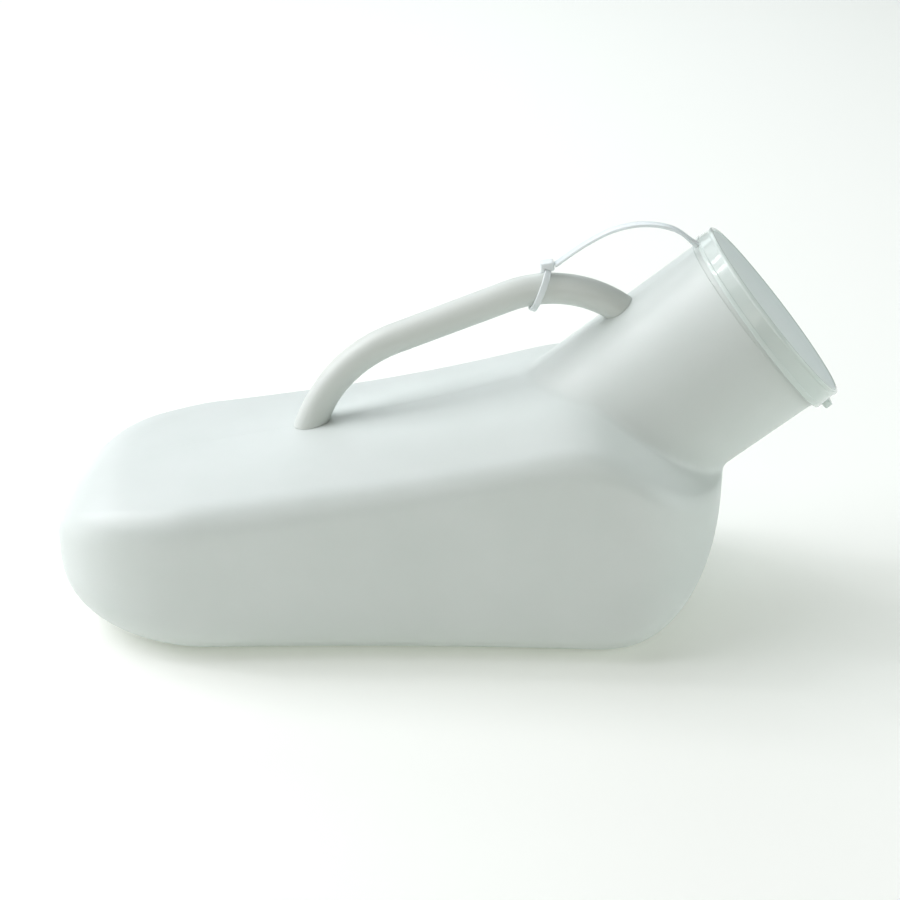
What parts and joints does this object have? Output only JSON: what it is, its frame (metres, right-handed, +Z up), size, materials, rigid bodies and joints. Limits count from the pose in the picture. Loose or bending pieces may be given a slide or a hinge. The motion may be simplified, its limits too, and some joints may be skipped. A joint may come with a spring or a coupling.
{
  "type": "urine bottle",
  "caption": "Lying plastic urine bottle with a long flat base, an upturned round neck, a curved rod handle and a press-on cap held by a looped strap.",
  "frame": {"origin": "under the middle of the whole object, on the surface that the bottle lies on", "axes": "+X along the bottle towards the mouth, +Y across it, +Z up; the XZ plane is the plane of symmetry"},
  "size_m": [0.2698, 0.1038, 0.139],
  "materials": {
    "bottle_plastic": "satin translucent natural polyethylene with a faint cool tint",
    "handle_plastic": "smooth opaque warm white",
    "cap_plastic": "glossy translucent soft plastic",
    "tether_plastic": "glossy translucent soft plastic"
  },
  "bodies": {
    "bottle": {"bottle_shell": "bottle_plastic", "grip_handle": "handle_plastic", "tether_strap": "tether_plastic"},
    "cap": {"snap_cap": "cap_plastic"},
    "ring": {"tether_lock": "tether_plastic", "tether_ring": "tether_plastic"}
  },
  "joints": [
    {"name": "cap_flip", "type": "hinge", "parent": "bottle", "child": "cap", "pos_m": [0.08515, 0, 0.13134], "axis": [0, -1, 0], "range_deg": [0, 105], "deforming": ["tether_strap"]},
    {"name": "ring_slide", "type": "hinge", "parent": "bottle", "child": "ring", "pos_m": [0.0378, 0, 0.0757], "axis": [0, 1, 0], "range_deg": [0, 12], "deforming": ["tether_strap"]}
  ]
}
